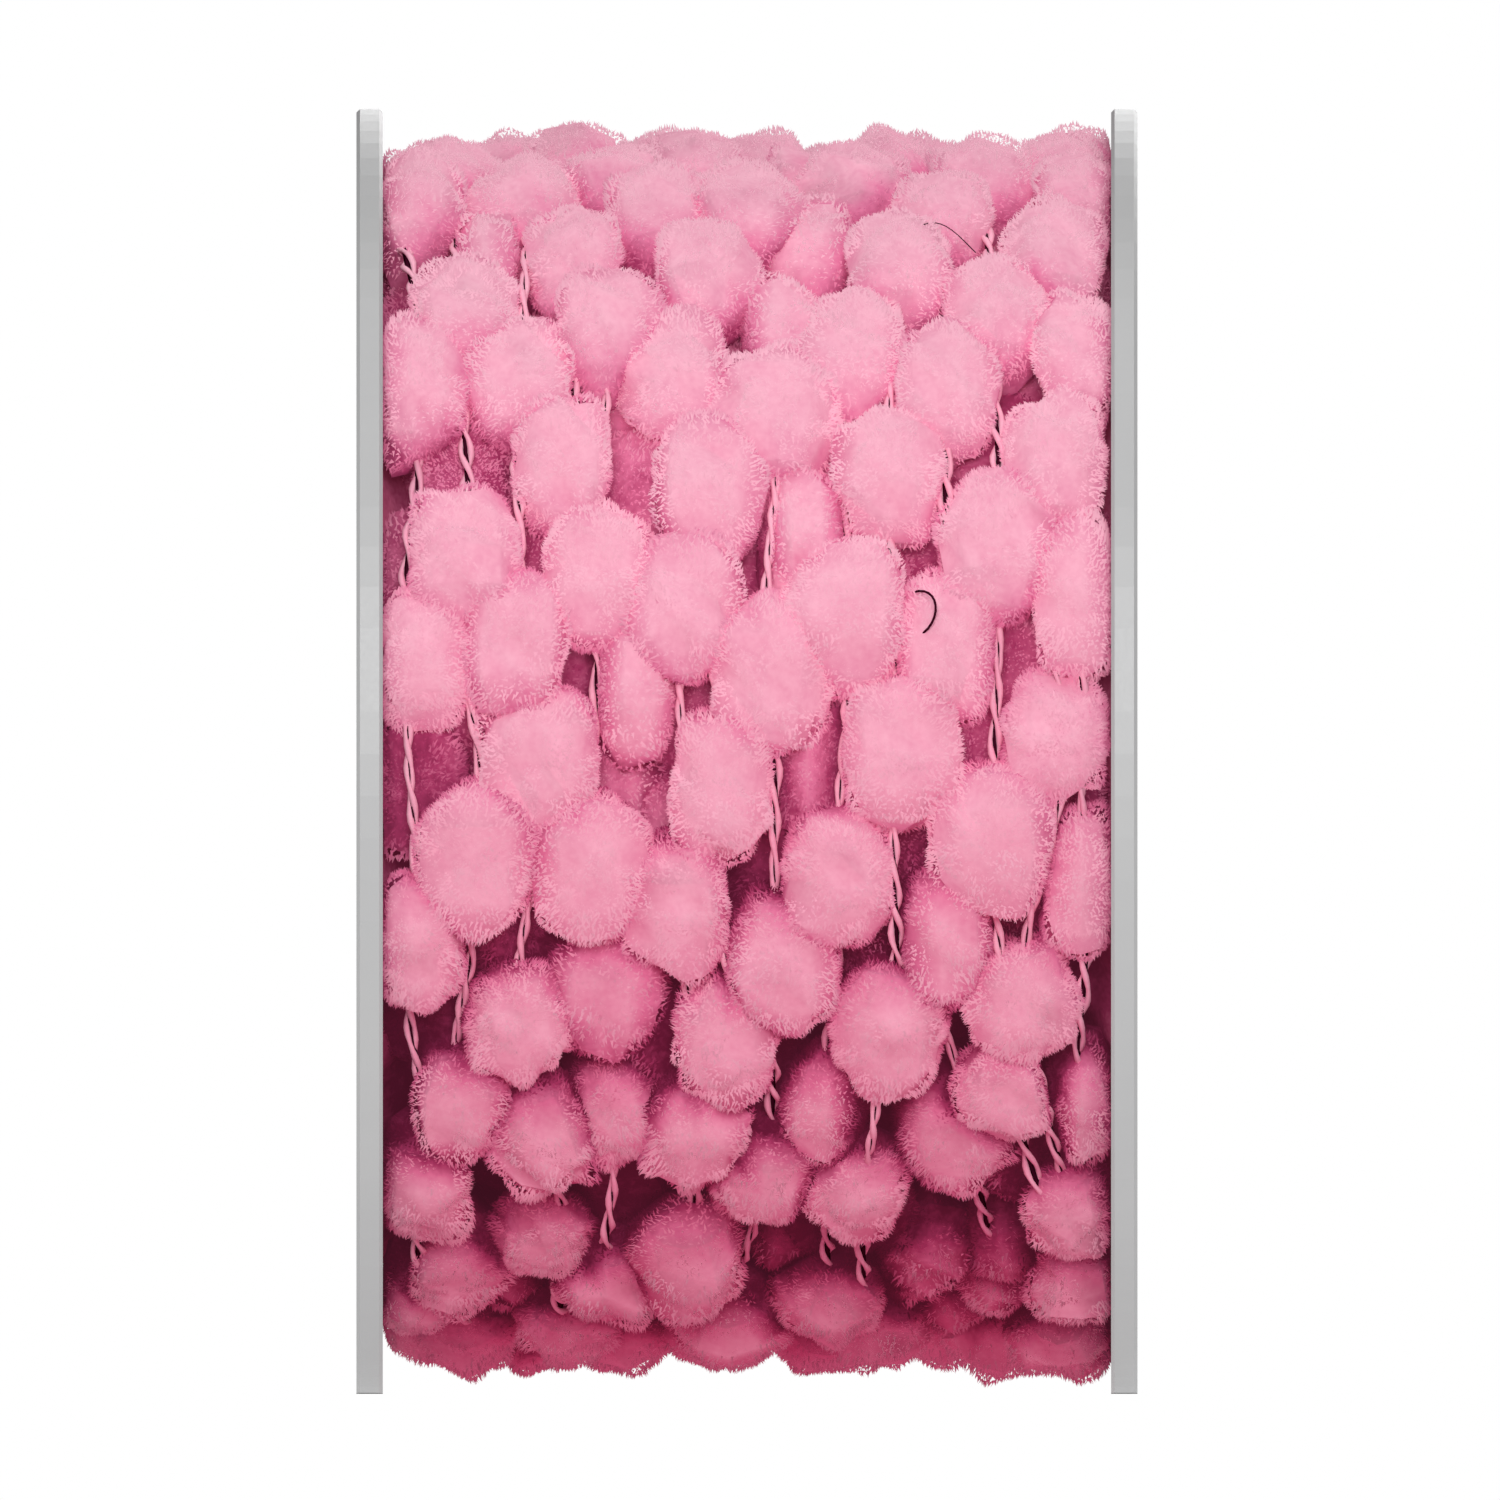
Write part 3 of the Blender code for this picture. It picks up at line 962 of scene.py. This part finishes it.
outer_groups = np.array_split(np.arange(count_outer), OUTER_GROUPS)
lower_groups = np.array_split(np.arange(count_outer, len(centres)), LOWER_GROUPS)
for number, group in enumerate(outer_groups, 1):
    name = f"outer_pile_{number}"
    total += pile(name, group, FIBRES_OUTER, FACING_OUTER, FIBRE_HALF_WIDTH, OUTER_SEED + number)
for number, group in enumerate(lower_groups, 1):
    name = f"lower_pile_{number}"
    total += pile(name, group, FIBRES_LOWER, FACING_LOWER, LOWER_HALF_WIDTH, LOWER_SEED + number)

# %% [markdown]
# ## Thread
#
# Two soft strands are twisted loosely round a fine dark thread, which shows as a dark slit wherever the
# strands part. A tube carried along a path makes all three: the path is the run of trim, and a strand's
# own line circles it once for each turn of the twist.

# %% Thread path
THREAD_BULGE = (1.6 * MM, 3.8 * MM)
LINK_SHARES = np.concatenate([[0.0, 0.12], np.linspace(0.19, 0.81, 25), [0.88]])
LINK_WANDER = 0.35 * MM
LOWER_BULGE = (0.2 * MM, 1.4 * MM)
LOWER_LINK_SHARES = np.linspace(0, 1, 14, endpoint=False)


def thread_path(run, shares, bulge, seed):
    """Points along a run of trim: straight from pompom to pompom, pushed outwards by half a sine wave.

    A whole sine wave across, of random height, keeps the links from lying quite straight.
    """
    rng_here = np.random.default_rng(seed)
    start, end = run[:-1, None], run[1:, None]
    share = shares[None, :, None]
    points = start + (end - start) * share
    radial = unit(away_from_axis(points))
    push = rng_here.uniform(*bulge, (len(run) - 1, 1, 1)) * np.sin(np.pi * share)
    wander = rng_here.normal(0, LINK_WANDER, (len(run) - 1, 1, 1)) * np.sin(2 * np.pi * share)
    return (points + radial * push + wander * [1, 0, 0]).reshape(-1, 3)


def path_frame(path):
    """Along each point of a path: its direction, the way outwards from the axis, and the way across."""
    ahead = unit(np.gradient(path, axis=0))
    radial = unit(away_from_axis(path))
    out = unit(radial - (radial * ahead).sum(1, keepdims=True) * ahead)
    return ahead, out, np.cross(ahead, out)


def tube(name, path, out, side, radius, sides, material, tone):
    """A round tube along a path: a ring of points round each path point, rings joined and ends closed."""
    turn = np.arange(sides) / sides * 2 * np.pi
    ring = np.cos(turn)[:, None] * out[:, None] + np.sin(turn)[:, None] * side[:, None]
    points = (path[:, None] + np.broadcast_to(radius, len(path))[:, None, None] * ring).reshape(-1, 3)
    here, after = np.arange(sides), np.roll(np.arange(sides), -1)
    level = sides * np.arange(len(path) - 1)[:, None]
    a, b = (level + here).ravel(), (level + after).ravel()
    skin = np.concatenate([np.stack([a, a + sides, b], 1), np.stack([b, a + sides, b + sides], 1)])
    caps = [[0, k, k + 1] for k in range(1, sides - 1)]
    ends = np.array(caps)
    far = np.array(caps)[:, ::-1] + sides * (len(path) - 1)
    faces = np.concatenate([skin, ends, far])
    return add_piece(name, points, faces[:, ::-1], material, tone=np.repeat(tone, sides))


# %% Twisted thread
PLY_RADIUS = 0.26 * MM
PLY_UNEVEN = 0.22
PLY_WAVE = 0.47 * MM
PLY_ORBIT = 0.42 * MM
ORBIT_SHARE, ORBIT_UNEVEN = 0.8, 0.35
ORBIT_WAVE = 5.3 * MM
TWIST_LENGTH = 7.6 * MM
TWIST_UNEVEN = 0.9
TWIST_WAVE = 8.7 * MM
PLY_SIDES = 5
CORE_RADIUS = 0.27 * MM
CORE_SIDES = 3
CORE_TONE = 0.5


def twisted_strand(name, path, phase, material):
    """One strand: its line circles the path once for each twist, nearer or further by a slow wave.

    A quicker wave makes it thicker and thinner.
    """
    ahead, out, side = path_frame(path)
    travelled = np.concatenate([[0], np.cumsum(np.linalg.norm(np.diff(path, axis=0), axis=1))])
    turn = 2 * np.pi * travelled / TWIST_LENGTH + TWIST_UNEVEN * np.sin(travelled / TWIST_WAVE) + phase
    orbit = PLY_ORBIT * (ORBIT_SHARE + ORBIT_UNEVEN * np.sin(travelled / ORBIT_WAVE))
    line = path + orbit[:, None] * (np.cos(turn)[:, None] * side + np.sin(turn)[:, None] * out)
    radius = PLY_RADIUS * (1 + PLY_UNEVEN * np.sin(travelled / PLY_WAVE + phase))
    # The strands' tone is painted shade by their depth in the winding.
    return tube(name, line, out, side, radius, PLY_SIDES, material, painted_shade_by_depth(line))


ply_yarn = brushed_acrylic("twisted_acrylic_ply", PILE_PAINTED_SHADE_COLOURS)
core_yarn = brushed_acrylic("dyed_core_thread", CORE_COLOURS, painted_glow=0)
outer_path = thread_path(outer_centres, LINK_SHARES, THREAD_BULGE, seed=31)
total += twisted_strand("thread_ply_1", outer_path, 0, ply_yarn)
total += twisted_strand("thread_ply_2", outer_path, np.pi, ply_yarn)
_, core_out, core_side = path_frame(outer_path)
core_tone = np.full(len(outer_path), CORE_TONE)
total += tube("thread_core", outer_path, core_out, core_side, CORE_RADIUS, CORE_SIDES, core_yarn, core_tone)

lower_path = thread_path(lower_centres, LOWER_LINK_SHARES, LOWER_BULGE, seed=37)
total += twisted_strand("lower_ply_1", lower_path, 0, ply_yarn)
total += twisted_strand("lower_ply_2", lower_path, np.pi, ply_yarn)

# %% [markdown]
# ## The turns below
#
# Between the pompoms the eye reaches the inner turns, too deep to tell apart. One lumpy sleeve stands for
# them: its distance from the axis is a function of the angle and the place across. It flares at both ends,
# because the turns there climb the flanges.

# %% Inner turns
SLEEVE_RADIUS = 39.2 * MM
SLEEVE_FLARE = 3.4 * MM
FLARE_POWER = 14
SLEEVE_WAVES = 0.9 * MM
WAVE_SHARES = (1.0, 0.5, 0.3)
WAVES_AROUND = (21, 34, 55)
WAVES_ACROSS = (320, -900, 1500)
ROWS_ACROSS = 690
SLEEVE_PAINTED_SHADE = 0.2
SLEEVE_AROUND = 180
SLEEVE_ACROSS = 56


def inner_turns():
    """A sleeve whose radius is a mean plus three sine waves plus a high power of the place across.

    The waves cross like rows of pompoms side by side, and the power makes the flare.
    """
    angle = np.arange(SLEEVE_AROUND) / SLEEVE_AROUND * 360
    place = np.linspace(-1, 1, SLEEVE_ACROSS)[:, None] * INSIDE_HALF
    turn = np.radians(angle)
    first, second, third = [
        share * np.sin(around * turn + over * place)
        for share, around, over in zip(WAVE_SHARES, WAVES_AROUND, WAVES_ACROSS)
    ]
    wave = first * np.cos(ROWS_ACROSS * place) + second + third
    flare = SLEEVE_FLARE * (np.abs(place) / INSIDE_HALF) ** FLARE_POWER
    radius = SLEEVE_RADIUS + flare + SLEEVE_WAVES * wave
    points = on_reel(place + 0 * angle, angle + 0 * place, radius).reshape(-1, 3)
    here, after = np.arange(SLEEVE_AROUND), np.roll(np.arange(SLEEVE_AROUND), -1)
    level = SLEEVE_AROUND * np.arange(SLEEVE_ACROSS - 1)[:, None]
    a, b = (level + here).ravel(), (level + after).ravel()
    faces = np.stack([a, b, b + SLEEVE_AROUND, a + SLEEVE_AROUND], 1)
    # Painted shade: the sleeve is darker still, deep between the pompoms.
    tone = (painted_shade_by_depth(points) - SLEEVE_PAINTED_SHADE).clip(0, 1)
    return add_piece("inner_turns", points, faces, heart_yarn, tone=tone)


total += inner_turns()

# %% [markdown]
# ## Loose ends
#
# The dark thread comes loose in two places. One end stands off in a small loop, and one lies across a
# pompom as a fine hair. Both are tubes along a path made of sines, with their ends sunk in the pile.

# %% Loose ends
LOOSE_END_RADII = (50.4 * MM, 52.8 * MM)
LOOSE_END_POINTS = 14
LOOP_RADIUS = 0.11 * MM
HAIR_RADIUS = 0.05 * MM


def loose_thread(name, across_mm, angle_deg, run_mm, bow_mm, reach_mm, radius):
    """A loose end of the dark thread: across, a straight run plus half a sine; along, half a cosine.

    Out from the axis it rises and falls by half a sine.
    """
    share = np.linspace(0, 1, LOOSE_END_POINTS)
    bow = np.sin(np.pi * share)
    place = (across_mm + run_mm * share + bow_mm * bow) * MM
    lowest, highest = LOOSE_END_RADII
    angle = angle_deg - np.degrees(reach_mm * MM / highest) * np.cos(np.pi * share) / 2
    path = on_reel(place, angle, lowest + (highest - lowest) * bow)
    _, out, side = path_frame(path)
    return tube(name, path, out, side, radius, PLY_SIDES, core_yarn, np.full(len(path), CORE_TONE))


total += loose_thread(
    "loose_core_loop", across_mm=14.2, angle_deg=76.4, run_mm=0, bow_mm=1.9, reach_mm=4.2, radius=LOOP_RADIUS
)
total += loose_thread(
    "loose_core_hair", across_mm=13.1, angle_deg=31, run_mm=6.4, bow_mm=0, reach_mm=1.8, radius=HAIR_RADIUS
)
print(total, "triangles added in all")

# %% [markdown]
# ## Light from the floor
#
# Light that comes back up between the pompoms has taken their colour on the way, so the yarn is lit rose
# from below, while the grey flanges are lit white. One floor can't do both. Two wide cards just above it
# do, each linked to the pieces that it may light. The plain winding needs none, because it isn't shown.

# %% Light from the floor
CARD_SIZE = 2.0
CARD_HEIGHT = 0.05 * MM
ROSE_POWER = 6.0
WHITE_POWER = 11.0


def floor_card(name, colour, power, receivers):
    """A wide card just above the floor that lights only the given pieces from below."""
    data = bpy.data.lights.new(name, "AREA")
    data.shape = "SQUARE"
    data.size = CARD_SIZE
    data.energy = power
    data.color = linear(colour)[:3]
    card = bpy.data.objects.new(name, data)
    card.location = (0, 0, CARD_HEIGHT)
    card.rotation_euler = (np.pi, 0, 0)
    bpy.context.collection.objects.link(card)
    lit = bpy.data.collections.new(name + "_lights")
    for piece in receivers:
        lit.objects.link(piece)
    card.light_linking.receiver_collection = lit


UNLIT = ("floor", "winding")
meshes = [piece for piece in bpy.context.scene.objects if piece.type == "MESH" and piece.name not in UNLIT]
reel = [piece for piece in meshes if piece.name.startswith(("flange", "barrel"))]
yarn = [piece for piece in meshes if piece not in reel]
floor_card("rose_card", "#FF86B0", ROSE_POWER, yarn)
floor_card("white_card", "#FFFFFF", WHITE_POWER, reel)
print("white light reaches", ", ".join(piece.name for piece in reel))
print("rose light reaches", len(yarn), "pieces of yarn")
